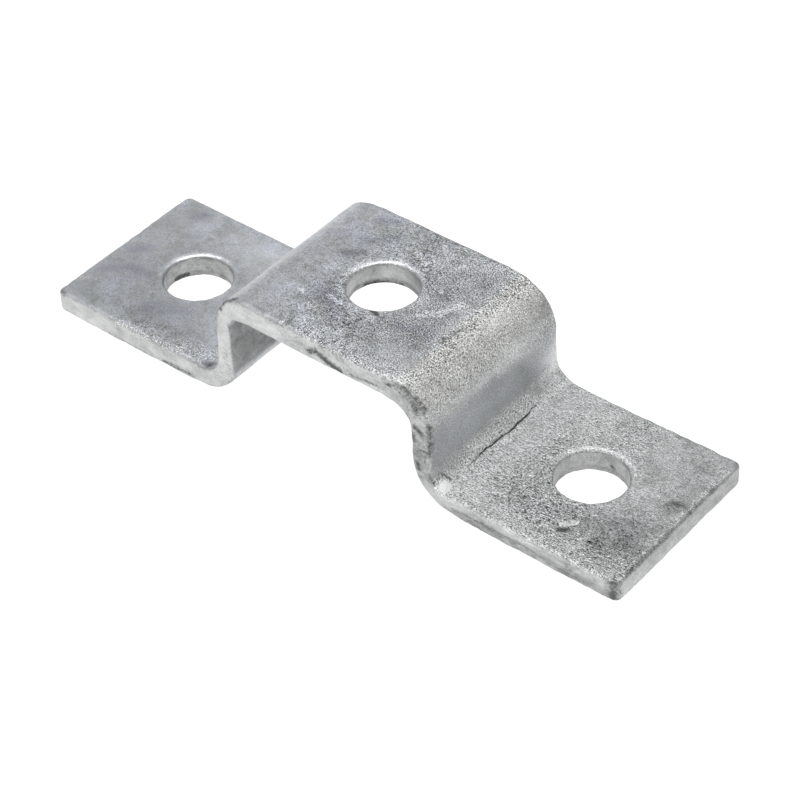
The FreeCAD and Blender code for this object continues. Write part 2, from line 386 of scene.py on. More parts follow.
# Marks on the real bracket, and painted light and shade. A soft spot has a centre, a reach along each axis
# and a strength, and a stroke has the places that it passes through, half its width and a strength. The
# tones lighten or darken the zinc; those named painted are painted light and shade on the right fold, the
# right web, the flanges and the hollow of the right foot. The smooth spots take the grain and the hammered
# look away.
TONES_AND_PAINTED_LIGHTING = [
    ("dull corner of the right flange", (62.5, -11, 5), (8, 8, 3), -0.51),
    ("dull patch in front of the right hole", (46, -11.5, 5), (8, 4, 3), -0.12),
    ("light flat beside the crack", (35.5, -4, 5), (4.5, 8, 3), 0.24),
    ("light flat beyond the crack", (33, 10, 5), (3.5, 6, 2), 0.20),
    ("light front of the right flange", (60, -17.5, 5.3), (6, 2.5, 1.3), 0.10),
    # Painted shade down the middle of the right web.
    ("painted shade down the middle of the web", (26.8, 0, 16.5), (2, 7, 3), -0.16),
    ("light strip beside the foot", (32.5, -14, 5), (4, 5, 3), 0.24),
    ("light hollow round the zinc run", (30, -15.5, 5.8), (2.5, 4, 2), 0.20),
    ("light near strip of the right flange", (42, -18, 5.3), (12, 3, 1.3), 0.28),
    # Painted light in the hollow of the right foot.
    ("painted light in the hollow of the foot", (29.5, -2, 6.2), (2.2, 18, 1.8), 0.21),
    # Painted light and shade on the far part of the right web and its fold.
    ("painted shade on the far part of the web", (27, 13, 15.5), (2.5, 6.5, 6), -0.38),
    ("painted light on the far end of the web", (27, 18, 11), (2, 2.0, 3), 0.12),
    ("painted shade on the far end of the right fold", (26.5, 18, 19), (2, 3.5, 5), -0.28),
    # Painted shade over the right flange.
    ("painted shade over the right flange", (50, -6, 5), (24, 12, 3), -0.07),
    # Painted light on the far side of the right flange.
    ("painted light on the far side of the right flange", (39, 17, 5), (7, 6, 3), 0.05),
    ("dull far edge of the right flange", (48, 17, 5), (5, 4, 3), -0.17),
    ("dull end of the right flange", (64, 12, 5), (6, 8, 3), -0.16),
    ("dull plate", (4, -2, 26.5), (14, 24, 2), -0.23),
    ("patch in front of the top hole", (1, -11, 26.5), (5, 2.5, 2), -0.12),
    ("dull hollow before the right fold", (15.5, -9, 26.5), (3.0, 4.5, 2), -0.20),
    ("dull spot right of the top hole", (14.6, -2, 26.5), (2.5, 3, 2), -0.22),
    ("dull spot beyond the scuff", (11.8, 6.7, 26.5), (2.5, 2.5, 2), -0.16),
    ("dull far part before the right fold", (15.5, 14.5, 26.5), (2.5, 3, 2), -0.16),
    ("dull plate before the top hole", (-7.5, -6.5, 26.5), (4, 4, 2), -0.24),
    ("dull left fold", (-19, -2, 25.8), (4, 8, 3), -0.08),
    # Painted highlight by the near edge at the start of the right fold.
    ("painted highlight at the end of the plate's near edge", (19.2, -18.8, 26), (3, 1.5, 2), 0.22),
    ("light near face of the plate's left end", (-18, -20, 23.5), (6, 0.6, 3), 0.09),
    ("dull plate beyond the hole", (14, 12, 26.5), (3, 3, 2), -0.12),
    # Painted highlight along the start of the right fold.
    ("painted highlight band on the right fold", (21.7, 4, 25.4), (1.6, 9, 1.5), 0.35),
    ("painted highlight at the start of the right fold", (19.2, 2, 26.4), (1.4, 9, 1.5), 0.10),
    # Painted light on the near part of the right web.
    ("painted light on the near part of the web", (26.6, -8, 13), (2, 6, 6), 0.12),
    ("light near face of the left end", (-60, -20, 2.5), (8, 0.6, 3), 0.07),
    ("light side of the left web", (-24, -20, 13), (3, 0.6, 8), 0.08),
    ("dull near face of the right flange", (50, -20, 2.5), (13, 0.6, 2.5), -0.11),
    ("dull spots on the right end", (66.2, 3, 5), (2.6, 2.0, 2), -0.30),
    ("dull end face of the right flange", (69.6, 10, 2.2), (1.2, 16, 3.5), -0.30),
    ("light wedge before the right fold", (13.5, -13.5, 26.5), (5, 3.2, 2), 0.08),
    # Painted highlight at the near end of the right fold.
    ("painted highlight at the near end of the right fold", (19.5, -16.5, 26.4), (2.0, 3.0, 2), 0.10),
    ("light line along the left fold", (-24, 4, 20), (2, 16, 5), 0.05),
    ("dull left flange", (-54, -6, 5), (12, 12, 3), -0.15),
    ("dull near corner of the left flange", (-62, -11, 5), (5, 5, 3), -0.15),
    # Painted shade along the near edge of the left flange.
    ("painted shade along the near edge of the left flange", (-46, -16, 5), (11, 3.5, 1.5), -0.23),
    # Painted light on the far part of the left flange.
    ("painted light on the far part of the left flange", (-40, 14, 5), (12, 6, 3), 0.33),
    ("dull rim of the left hole", (-49, 7, 5), (7, 2.5, 0.8), -0.20),
    ("dull near face beside the foot", (35, -20, 2.5), (6, 0.6, 2.5), -0.16),
    ("dull near face of the left flange", (-40, -20, 2.5), (9, 0.6, 3), -0.05),
    ("dull side of the right web", (25, -20, 11), (3.4, 0.6, 7), -0.16),
    ("patch on the left side face", (-52.3, -20, 3.3), (0.9, 0.6, 1.2), -0.30),
    ("light patch on the right side face", (47.5, -20, 3.6), (4.5, 0.6, 0.9), 0.14),
]

SMOOTH = [
    ("smooth corner of the right flange", (63, -10, 5), (7, 5.5, 3), 0.7),
    ("smooth strip beside the crack", (32.5, 2, 5.2), (3.8, 9, 3), 0.5),
    ("smooth wedge before the right fold", (13.5, -13.5, 26.5), (5, 3.2, 2), 0.7),
    ("smooth near part of the right fold", (18.6, -11, 26.3), (2.6, 4.5, 2), 0.6),
]

# Dark scale and spots, with two painted shadows: one high in the top hole and one below the scratch on the
# right flange.
STAINS_AND_SHADOWS = [
    ("patch in the left foot", ((-29.6, -18.7, 5.6), (-28.5, -18.6, 5.1)), 1.1, 1.25),
    ("dashes along the left lower edge", ((-55.2, -20, 0.5), (-51.1, -20, 0.5)), 0.4, 1.0),
    ("faint dashes further along", ((-50, -20, 0.6), (-43, -20, 0.7)), 0.4, 0.8),
    ("long dash on the left lower edge", ((-40.6, -20, 0.9), (-36.0, -20, 1.0), (-33, -20, 1.3)), 0.6, 1.25),
    ("scale under the plate's edge",
     ((-1.7, -20, 23.3), (0, -20, 24.1), (2.9, -20, 23.1), (5.9, -20, 22.3)), 0.7, 1.35),
    ("marbled scale towards the right fold",
     ((7, -20, 23), (12, -20, 23.6), (18, -20, 24), (22, -20, 22.6)), 1.6, 0.32),
    ("thin scale under the plate's edge", ((8.3, -20, 22.6), (11.9, -20, 23.1), (15, -20, 23.2)), 0.32, 1.0),
    ("scale over the right fold", ((16.7, -20, 24.8), (20.7, -19.8, 25.6), (22.8, -19.6, 24.8)), 0.6, 0.95),
    ("its end on the web", ((22.8, -19.6, 24.8), (24.2, -19.3, 23.7), (25.5, -19.2, 22)), 0.6, 0.95),
    ("marbled scale below it", ((20.4, -20, 24.4), (22.0, -20, 24.0), (23.4, -20, 22.4)), 1.1, 0.6),
    ("scale over the left fold", ((-24, -19.9, 22.3), (-22.6, -19.4, 24.6), (-20.3, -19.1, 26)), 0.55, 1.3),
    ("specks on the plate's near edge",
     ((-19.4, -18.8, 26.3), (-16.2, -18.8, 26.5), (-13.3, -18.8, 26.5)), 0.4, 0.8),
    ("spots on the plate's near edge", ((-7.4, -18.7, 26.5), (-5.2, -18.7, 26.5)), 0.8, 0.95),
    ("smudge on the left corner", ((-68.6, -18.9, 4.9), (-67.6, -19.5, 4.6)), 0.9, 0.9),
    ("speckles on the left web's side", ((-23.1, -20, 13.9), (-23.2, -20, 10.1), (-22.2, -20, 8)), 0.7, 0.6),
    ("upper spot on the web's side", ((23.7, -20, 18.1), (24.9, -20, 17)), 0.5, 0.8),
    ("left spot on the web's side", ((23, -20, 15.8), (23.2, -20, 14.6)), 0.5, 0.8),
    ("scale down the web's side", ((26.7, -19.6, 19.2), (27, -19.6, 16.1), (27, -19.6, 12.4)), 0.6, 0.9),
    ("grey band across the web's side", ((23.7, -20, 13.0), (25.8, -20, 12.6)), 1.4, 0.3),
    ("low spots on the web's side", ((23.9, -20, 9.1), (24.2, -20, 8.3)), 0.6, 0.9),
    ("line above the zinc run", ((27.7, -17.6, 7.0), (28.4, -17.0, 6.2), (29.1, -16.6, 5.6)), 0.38, 1.35),
    ("line beside the zinc run", ((27.2, -19.6, 7.6), (27.8, -19.6, 6.4)), 0.4, 0.8),
    ("scale on the right side face", ((38.6, -20, 2.4), (41.4, -20, 2.1)), 0.8, 0.8),
    ("line along the right side face",
     ((32, -20, 1.9), (39, -20, 2.5), (42.3, -20, 2.1), (46.7, -20, 2.5)), 0.3, 0.75),
    ("its far part", ((46.7, -20, 2.5), (50.5, -20, 2.2), (53, -20, 1.5), (63, -20, 1.4)), 0.3, 0.7),
    ("scale on the right end corner", ((68.2, -19.6, 4.2), (68.4, -19.6, 1.0)), 1.5, 1.1),
    ("scale on the right end's upper edge", ((68.9, -18, 4.9), (68.9, -4, 4.9), (68.9, 12, 4.9)), 0.5, 1.0),
    ("line before the right fold", ((18.6, -6.5, 26.5), (19.2, -3.2, 26.4), (19.4, 0, 26.4)), 0.4, 0.9),
    ("pit before the right fold", ((18.5, -5.0, 26.4),), 0.6, 1.3),
    ("notch in the top hole's rim", ((2.9, -6.6, 26.3), (4.3, -6.8, 26.5)), 0.42, 2.0),
    ("shadow of the scratch", ((52.5, -15.0, 5), (53.8, -13.9, 5)), 0.6, 1.5),
    ("spot on the right end", ((66.5, -4.4, 5),), 1.2, 0.6),
    ("spots on the right end", ((64.4, 2.2, 5), (65.2, 3.4, 5), (67.6, 3.6, 5)), 0.9, 1.0),
    ("faint line beyond the right hole", ((50.7, 17.8, 5), (54.6, 11.5, 5), (58.3, 3.7, 5)), 0.4, 0.8),
    ("spot on the far right flange", ((45.6, 15.2, 5), (45.8, 16.8, 5)), 0.8, 0.7),
    ("pit at the right foot's far end", ((28.6, 18.9, 6.6), (29.4, 19.0, 5.9)), 0.45, 1.3),
    ("spot in the right hole", ((48.7, 7.5, 2.0), (49.2, 7.5, 1.5)), 0.5, 1.2),
    ("scale low in the left hole", ((-56.0, 1.2, 0.7), (-55.2, 3.6, 0.7)), 0.55, 2.2),
    ("smudge in the left hole", ((-52.4, 6.6, 1.9), (-49, 7.4, 1.1)), 0.5, 0.9),
    # Painted shadow high in the top hole's wall.
    ("painted shadow high in the top hole", ((-5.7, 4.6, 25.3), (-5.6, 4.7, 24.0)), 1.2, 0.6),
    ("dark foot of the top hole", ((-6.6, 3.1, 21.8), (-5.0, 5.4, 21.8), (-1.2, 7.3, 21.8)), 0.55, 1.6),
    ("far left corner", ((-62.4, 16, 5), (-61.4, 17, 5)), 1.2, 0.5),
    ("spots inside the left web", ((-21.4, -18, 14), (-21.4, -14, 12)), 1.2, 0.35),
]

# Bright scratches, scuffs and flecks.
SCUFFS = [
    ("streak in front of the top hole", ((-6.4, -7.9, 26.5), (-3.0, -8.4, 26.5)), 0.5, 0.75),
    ("spot near the plate's left end", ((-11.9, -9.6, 26.5), (-11.2, -10, 26.5)), 0.7, 0.9),
    ("broad scuff by the top hole", ((11.0, -1.6, 26.5), (13.9, 1.4, 26.5), (15.6, 5.2, 26.5)), 1.3, 0.62),
    ("scratch in the broad scuff", ((10.6, -2.6, 26.5), (14.4, 0.2, 26.5)), 0.4, 0.8),
    ("bright fleck beyond the scuff", ((9.8, 5.6, 26.5),), 0.6, 1.1),
    ("fleck at the far edge", ((8.4, 14.6, 26.5),), 0.5, 1.0),
    ("scratch on the right flange", ((52.2, -13.4, 5), (53.9, -11.5, 5)), 0.5, 1.6),
    ("rim below the scratch", ((49.6, -15.5, 5), (52.6, -15.6, 5)), 0.4, 0.6),
]

# Bluish, darker smudges.
SLATE = [
    ("smudge in the far left corner", ((-63, 15.4, 5), (-61.8, 16.8, 5)), 1.3, 0.9),
    ("smudge at the left end", ((-66, -1, 5), (-64, 1.5, 5)), 1.5, 0.8),
    ("streak on the left flange", ((-66.5, -9, 5), (-62.5, -5.5, 5), (-57.5, -5, 5)), 1.4, 0.7),
    ("streak beyond the left hole", ((-60.5, 8.8, 5), (-58.2, 10.4, 5)), 0.9, 0.6),
    ("near part of the left flange", ((-51, -12.5, 5), (-43.5, -9.5, 5)), 2.2, 0.7),
    ("smudge left of the top hole", ((-12.6, 3.8, 26.5), (-10, 6.2, 26.5)), 1.1, 1.1),
    ("streak beyond the top hole", ((-12, 9, 26.5), (-7.4, 12.8, 26.5)), 1.5, 0.8),
    ("smudge at the plate's far edge", ((-13.2, 16.4, 26.5), (-10.4, 17.6, 26.5)), 1.2, 0.8),
    ("front of the plate", ((-8.5, -7.5, 26.5), (-2, -12, 26.5)), 1.8, 0.7),
    ("hollow before the right fold", ((9, -7, 26.5), (15.5, -6, 26.5)), 1.6, 0.7),
]

ZINC_RUN = ("run of zinc in the near corner of the foot", (29.5, -18.8, 5.6), (1.6, 1.5, 1.4), 1.5)

# Bright beads of zinc, whose brightness is partly a painted highlight along the edges, and a painted
# highlight on the top hole's left rim.
BEADS_AND_GLINTS = [
    ("beads along the left flange's edge", ((-53, -19.7, 4.8), (-41, -19.4, 5), (-34, -18.4, 5)), 0.8, 0.8),
    ("beads before the left foot", ((-37, -17.6, 5), (-31, -16.4, 5)), 1.5, 0.65),
    ("beads along the plate's edge", ((-8, -19.2, 26.5), (4, -19.0, 26.5), (17, -18.8, 26.5)), 1.0, 0.9),
    ("beads on the right flange's edge", ((31, -19.0, 5.1), (46, -19.3, 5), (66, -19.3, 5)), 0.8, 1.6),
    ("beads on the right end's edge", ((68.5, -16, 5), (68.5, 12, 5)), 0.5, 0.9),
    ("beads beside the crack", ((27.6, -9.2, 7.4), (27.9, -4, 7), (27.9, 4, 7), (27.6, 10, 7)), 0.7, 1.5),
    # Painted highlight on the top hole's left rim.
    ("painted highlight on the top hole's left rim", ((-5.6, -5.4, 26.5), (-7.6, -1.0, 26.5), (-7.0, 3.4, 26.5)), 0.7, 0.8),
]

# The crack along the foot of the right web: where it lies on the fold's skin, measured round the fold.
CRACK_ALONG = 4.85
CRACK_FROM, CRACK_TO = -12.0, 11.8
CRACK_OPENING = (-0.5, 6.5)
CRACK_DEPTH = 0.26
CRACK_WIDTH = 0.15
CRACK_LIP = 0.06
CRACK_LIP_AT, CRACK_LIP_WIDTH = -2.2 * CRACK_WIDTH, 2 * CRACK_WIDTH

# How it wanders: height, length and phase of each wave.
CRACK_WAVES = ((0.22, 2.9, 0.6), (0.10, 0.83, 0.0), (0.05, 0.37, 1.0))

# Where the distance from the crack is measured, and the distance that stands for everywhere else.
CRACK_NEARBY = 4.0
CRACK_LOW, CRACK_HIGH = 4.0, 14.0
CRACK_LEFT = 20.0
NO_CRACK = 9.0

# Folding draws the outside of each fold in at the bar's edges and lets the inside bulge. It starts and ends
# between these turns round the fold, whose ends are at 0 and 90.
NECK = 0.45
NECK_REACH = 2.0
NECK_START = (-35, 15)
NECK_FINISH = (125, 75)

# The right flange's far corner stands a little high and its end is sheared a little out of square.
TWIST = 0.5
SKEW = 0.4
BEND_ALONG = (38, HIGH.x + 6)

# Zones of the finish: each is a product of ramps, with their axis, where they begin and where they are full.
X, Y, Z = range(3)
NEAR_FACE = ((Y, -19.4, -19.9),)
RIGHT_WEB = ((X, 26.2, 26.8), (Z, 8, 10), (Z, 20, 16))
SHELTERED = ((X, -22.0, -21.6), (X, 22.8, 22.0), (Z, 21, 19))
PLATE = ((X, -18, 2), (Z, 25, 26))
HAMMERED_FOOT = ((X, 26.6, 27.8), (Z, 8.4, 6.4))
HAMMERED_FOLD = ((X, 17.2, 20.0), (Z, 18.5, 22.0))
HAMMERED_FOLD_SHARE = 0.74
HAMMERED_FOLD_SLOPE = 0.2
CRACK_STRIP = ((Y, 4, -8),)

# Zones that add up, each with its share.
LESS_HAMMERED = [
    ("far side", 0.5, ((Y, -2, 14),)),
    ("near end of the right fold", 0.35, ((Y, -8, -18), (X, 30, 24))),
    ("right end of the flange", 0.65, ((X, 48, 60), (Y, -15, -9))),
]
GRAIN_ZONES = [
    ("left flange", -0.1, ((X, -24, -30),)),
    ("near edge of the left flange", 0.25, ((X, -26, -30), (Y, -13, -18), (X, -58, -44))),
]
FINE_GRAIN = [
    ("right half", 0.7, ((X, 2, 10),)),
    ("from the right fold on", 0.3, ((X, 16, 20),)),
]
COARSE_GRAIN = [("right end of the flange", 0.7, ((X, 52, 60),))]
WORN = [
    ("near face of the plate", 0.5, NEAR_FACE + ((X, -16, -4),)),
    ("near face of the right web", 0.7, NEAR_FACE + ((X, 19, 22), (Z, 4, 6))),
]
STAINED_ZONES = [("side of the right web", 0.2, NEAR_FACE + ((X, 22, 23.5), (X, 30, 27), (Z, 4, 6)))]
VIOLET = [("left part", 1.0, ((X, 24, -12),)), ("right web", 0.35, RIGHT_WEB)]
WARM = [
    ("right part", 0.4, ((X, 17.5, 20),)),
    ("top of the right fold", 0.6, ((X, 17.5, 20), (Z, 20, 23))),
]
CALM = [("right web", 0.4, RIGHT_WEB)]
TONE_AND_SHADE_ZONES = [
    ("lower band of the right near face", -0.24, NEAR_FACE + ((Z, 2.7, 2.2), (X, 29, 34))),
    # Painted shade on the faces between the webs.
    ("painted shade between the webs", -0.59, SHELTERED),
]

# Which way a surface looks, by the height of its normal, and how much painted shade darkens it where it
# looks down.
LOOKS_UP = (-0.3, 0.1)
LOOKS_DOWN = (-0.2, -0.5)
DOWNWARD_PAINTED_SHADE = -0.2

# Strength of the grain, what the plate and hammered places add, and what smooth and sheltered ones take.
GRAIN = 0.35
GRAIN_ON_PLATE = 0.6
GRAIN_HAMMERED = 0.15
GRAIN_SMOOTHED = 0.8
GRAIN_SHELTERED = 0.75

# The light strip that runs beside the crack.
CRACK_STRIP_TONE = 0.35
CRACK_STRIP_AT, CRACK_STRIP_WIDTH = -1.5, 0.7

# The holes from left to right: the tone of each wall and of its broken-out foot.
WALL_TONES = (-0.24, -0.01, -0.21)
BREAKOUT_TONES = (-0.144, -0.36, -0.144)
BREAKOUT_HEIGHT = (1.6, 1.3)
AT_WALL = (0.25, 0.05)

# The painted highlight on the rim of each hole, strongest at its far left. The same rim mask also sets the
# waves and bumps of the rim's coat and makes it less rough.
RIM_AT, RIM_WIDTH = 0.5, 0.6
RIM_SHARE = 0.25
RIM_WAY = (-0.6, 0.8)
RIM_STRONG = (0.3, 0.9)

# Near the bar's edges the skin takes on something of the cut faces, and on these the hammered look ends.
EDGE_CUT = 0.4
EDGE_CUT_REACH = (2.4, 0.3)
HAMMERED_ON_CUT = (0.95, 0.5)

# Waves of the coat, each with its wavelength and seed, and how far they stand off the steel.
BROAD_WAVE, BROAD_HEIGHT = (11.0, 1), 0.07
SHORT_WAVE, SHORT_HEIGHT = (3.6, 2), 0.035
FINE_WAVE, FINE_HEIGHT, HAMMERED_HEIGHT = (1.5, 3), 0.012, 0.03
EDGE_WAVE, EDGE_WAVE_HEIGHT, EDGE_HEIGHT = (2.2, 4), 0.10, 0.02
RIM_WAVE, RIM_HEIGHT = (4.0, 5), 0.10
RUN_WAVE, RUN_WAVE_HEIGHT, RUN_HEIGHT = (0.9, 6), 0.10, 0.5

# How fast the octaves of the waves weaken, the gap between them, their number, and how a seed shifts them.
WAVE_FALL, WAVE_GAP, WAVE_OCTAVES = 1.0, 2.0, 2
WAVE_SHIFT = Vector((17.3, 5.1, 9.7))

STROKE_SOFTNESS = 1.2
TINY = 1e-6


def smooth_step(low, high, values):
    share = np.clip((values - low) / (high - low), 0, 1)
    return share * share * (3 - 2 * share)


def bell(values, centre, width):
    return np.exp(-((values - centre) / width) ** 2)


def zone(ramps, points):
    """Product of the zone's ramps at the given points."""
    value = np.ones(len(points))
    for axis, low, high in ramps:
        value *= smooth_step(low, high, points[:, axis])
    return value


def zone_sum(rows, points):
    """Sum of zones at the given points, each times its share."""
    return sum(share * zone(ramps, points) for _, share, ramps in rows)


def spread(places, points):
    """Sum of soft spots at the given points."""
    total = np.zeros(len(points))
    for _, centre, reach, strength in places:
        distance = ((points - np.array(centre)) / np.array(reach)) ** 2
        total += strength * np.exp(-distance.sum(1))
    return total


def strokes(marks, points):
    """Strength of the strokes at the given points: full on their lines and falling off beside them."""
    total = np.zeros(len(points))
    for _, path, width, strength in marks:
        nearest = np.full(len(points), np.inf)
        for start, finish in zip(path, path[1:] or path):
            start, finish = np.array(start), np.array(finish)
            along = finish - start
            share = np.clip((points - start) @ along / max(along @ along, TINY), 0, 1)
            distance = np.linalg.norm(points - start - share[:, None] * along, axis=1)
            nearest = np.minimum(nearest, distance)
        total = np.maximum(total, strength * bell(nearest, 0, STROKE_SOFTNESS * width))
    return total


def waves(points, wavelength, seed):
    """Smooth noise between about -1 and 1 at the given points."""
    offset = seed * WAVE_SHIFT
    settings = (WAVE_FALL, WAVE_GAP, WAVE_OCTAVES)
    return np.array([noise.fractal(Vector(p) + offset, *settings) for p in points / wavelength])


def measure_crack(points):
    """Signed distance from the crack on the skin in millimetres, and how open the crack is there."""
    form = SECTION[1]
    radius = form["foot_in"]
    centre_x, centre_z = form["inside"] + form["web"] + radius, BAR + radius
    x, y, z = points.T
    angle = np.arctan2(centre_z - z, centre_x - x)
    round_fold = np.clip(angle, 0, math.pi / 2) * radius
    along = round_fold + np.clip(x - centre_x, 0, None) - np.clip(z - centre_z, 0, None)
    wander = sum(height * np.sin(y / length + phase) for height, length, phase in CRACK_WAVES)
    distance = along - CRACK_ALONG - wander
    opening = smooth_step(*CRACK_OPENING, np.minimum(y - CRACK_FROM, CRACK_TO - y))
    beside = (np.abs(distance) < CRACK_NEARBY) & (x > CRACK_LEFT) & (z > CRACK_LOW) & (z < CRACK_HIGH)
    return np.where(beside, distance, NO_CRACK), np.where(beside, opening, 0.0)


def folds():
    """Centre, middle radius and outward quarter of each of the four folds, seen along Y."""
    for side, form in SECTION.items():
        centre = side * (form["inside"] - form["top_in"]), UNDER - form["top_in"]
        yield centre, form["top_in"] + BAR / 2, (side, 1)
        centre = side * (form["inside"] + form["web"] + form["foot_in"]), BAR + form["foot_in"]
        yield centre, form["foot_in"] + BAR / 2, (-side, -1)


def neck(points):
    """How far each vertex moves in towards the middle of the bar's width at the folds."""
    x, y, z = points.T
    inwards = np.zeros(len(points))
    for (centre_x, centre_z), radius, (way_x, way_z) in folds():
        off_x, off_z = (x - centre_x) * way_x, (z - centre_z) * way_z
        turn = np.degrees(np.arctan2(off_z, off_x))
        level = (np.hypot(off_x, off_z) - radius) / (BAR / 2)
        in_fold = smooth_step(*NECK_START, turn) * smooth_step(*NECK_FINISH, turn)
        inwards += in_fold * np.clip(level, -1, 1) * (np.abs(level) < 2)
    edge = np.exp(-(HIGH.y - np.abs(y)) / NECK_REACH)
    return -np.sign(y) * NECK * inwards * edge


def bend(points):
    """How far each vertex of the right flange moves with the flange's twist and its skewed end."""
    x, y, _ = points.T
    along = smooth_step(*BEND_ALONG, x)
    over = (y - LOW.y) / (HIGH.y - LOW.y)
    return np.column_stack([SKEW * along * over, np.zeros(len(points)), TWIST * along * over])


def measure_hammered(points, smooth):
    """Where the zinc is hammered: the foot of the right web with its flange, and the right fold."""
    leaning = points.copy()
    leaning[:, Z] -= HAMMERED_FOLD_SLOPE * np.clip(points[:, Y], 0, None)
    fold = HAMMERED_FOLD_SHARE * zone(HAMMERED_FOLD, leaning)
    hammered = np.clip(zone(HAMMERED_FOOT, points) + fold, 0, 1) * (1 - smooth)
    for _, share, ramps in LESS_HAMMERED:
        hammered *= 1 - share * zone(ramps, points)
    return hammered


def measure_holes(points):
    """The rims of the holes, which carry a painted highlight, and what their walls add to the tone."""
    x, y, z = points.T
    rims, tone = np.zeros(len(points)), np.zeros(len(points))
    for hole, wall_tone, breakout_tone in zip(HOLES, WALL_TONES, BREAKOUT_TONES):
        off_x, off_y = x - hole.x, y - hole.y
        from_wall = np.hypot(off_x, off_y) - HOLE_RADIUS
        way = (off_x * RIM_WAY[0] + off_y * RIM_WAY[1]) / HOLE_RADIUS
        share = RIM_SHARE + (1 - RIM_SHARE) * smooth_step(*RIM_STRONG, way)
        rims += bell(from_wall, RIM_AT, RIM_WIDTH) * share
        foot = UNDER if abs(hole.x) < HOLE_SQUARE else 0.0
        breakout = breakout_tone * smooth_step(*BREAKOUT_HEIGHT, z - foot)
        tone += smooth_step(*AT_WALL, from_wall) * (wall_tone + breakout)
    return rims, tone


def measure_zones(points, normals, cut):
    """The zones that steer the finish, one value for each vertex."""
    x, y, _ = points.T
    upward = smooth_step(*LOOKS_UP, normals[:, Z])
    downward = smooth_step(*LOOKS_DOWN, normals[:, Z])
    smooth = np.clip(spread(SMOOTH, points), 0, 1)
    hammered = measure_hammered(points, smooth)
    rims, hole_tone = measure_holes(points)
    crack, opening = measure_crack(points)
    grain = GRAIN + zone_sum(GRAIN_ZONES, points) + GRAIN_HAMMERED * hammered
    grain += GRAIN_ON_PLATE * zone(PLATE, points) * (1 - GRAIN_SMOOTHED * smooth)
    crack_strip = opening * zone(CRACK_STRIP, points) * bell(crack, CRACK_STRIP_AT, CRACK_STRIP_WIDTH)
    # The tone takes in the painted light and shade of the marks and zones, and the painted shade where the
    # surface looks down.
    tone = spread(TONES_AND_PAINTED_LIGHTING, points) + zone_sum(TONE_AND_SHADE_ZONES, points) + hole_tone
    tone += DOWNWARD_PAINTED_SHADE * downward + CRACK_STRIP_TONE * crack_strip
    to_edge = np.minimum(HIGH.y - np.abs(y), HIGH.x - np.abs(x))
    skin = 1 - cut
    sheltered = zone(SHELTERED, points)
    return {
        "cut": np.maximum(cut, EDGE_CUT * smooth_step(*EDGE_CUT_REACH, to_edge)),
        "hammered": hammered * smooth_step(*HAMMERED_ON_CUT, cut) * upward,
        "grain": np.clip(grain, 0, 1) * skin * (1 - GRAIN_SHELTERED * sheltered),
        "fine_grain": zone_sum(FINE_GRAIN, points) * (1 - zone_sum(COARSE_GRAIN, points)),
        "calm": zone_sum(CALM, points),
        "violet": zone_sum(VIOLET, points) * skin * (1 - sheltered),
        "warm": zone_sum(WARM, points) * (1 - zone(RIGHT_WEB, points)),
        "slate": strokes(SLATE, points),
        "tone": tone,
        "stain_and_shadow": strokes(STAINS_AND_SHADOWS, points) + zone_sum(STAINED_ZONES, points),
        "scuff": strokes(SCUFFS, points),
        "worn": zone_sum(WORN, points),
        "beads_and_glints": strokes(BEADS_AND_GLINTS, points),
        "rim": rims * skin * upward,
        "zinc_run": spread([ZINC_RUN], points),
        "crack": crack,
        "crack_open": opening * upward,
    }


def coat_height(points, zones):
    """How far the zinc stands off the plain steel at each vertex, in millimetres."""
    height = BROAD_HEIGHT * waves(points, *BROAD_WAVE) + SHORT_HEIGHT * waves(points, *SHORT_WAVE)
    height += (FINE_HEIGHT + HAMMERED_HEIGHT * zones["hammered"]) * waves(points, *FINE_WAVE)
    rounding = 4 * zones["cut"] * (1 - zones["cut"])
    height += rounding * (EDGE_HEIGHT + EDGE_WAVE_HEIGHT * waves(points, *EDGE_WAVE))
    height += zones["zinc_run"] * (RUN_HEIGHT + RUN_WAVE_HEIGHT * waves(points, *RUN_WAVE))
    height += RIM_HEIGHT * zones["rim"] * waves(points, *RIM_WAVE)
    groove = CRACK_DEPTH * bell(zones["crack"], 0, CRACK_WIDTH)
    lip = CRACK_LIP * bell(zones["crack"], CRACK_LIP_AT, CRACK_LIP_WIDTH)
    return height + zones["crack_open"] * (lip - groove)


def finish_surface(piece, cut):
    """Moves the vertices to the uneven zinc and keeps the zones as attributes. Returns their names."""
    data = piece.data
    count = len(data.vertices)
    points, normals = np.zeros(count * 3), np.zeros(count * 3)
    data.vertices.foreach_get("co", points)
    data.vertex_normals.foreach_get("vector", normals)
    points, normals = points.reshape(-1, 3) / MM, normals.reshape(-1, 3)
    zones = measure_zones(points, normals, np.array(cut))
    moved = points + normals * coat_height(points, zones)[:, None]
    moved[:, Y] += neck(points)
    moved += bend(points)
    data.vertices.foreach_set("co", (moved * MM).ravel())
    for name, values in zones.items():
        attribute = data.attributes.new(name, "FLOAT", "POINT")
        attribute.data.foreach_set("value", np.asarray(values, np.float32))
    data.update()
    return list(zones)


def set_values(node, values):
    for name, value in values.items():
        node.inputs[name].default_value = value


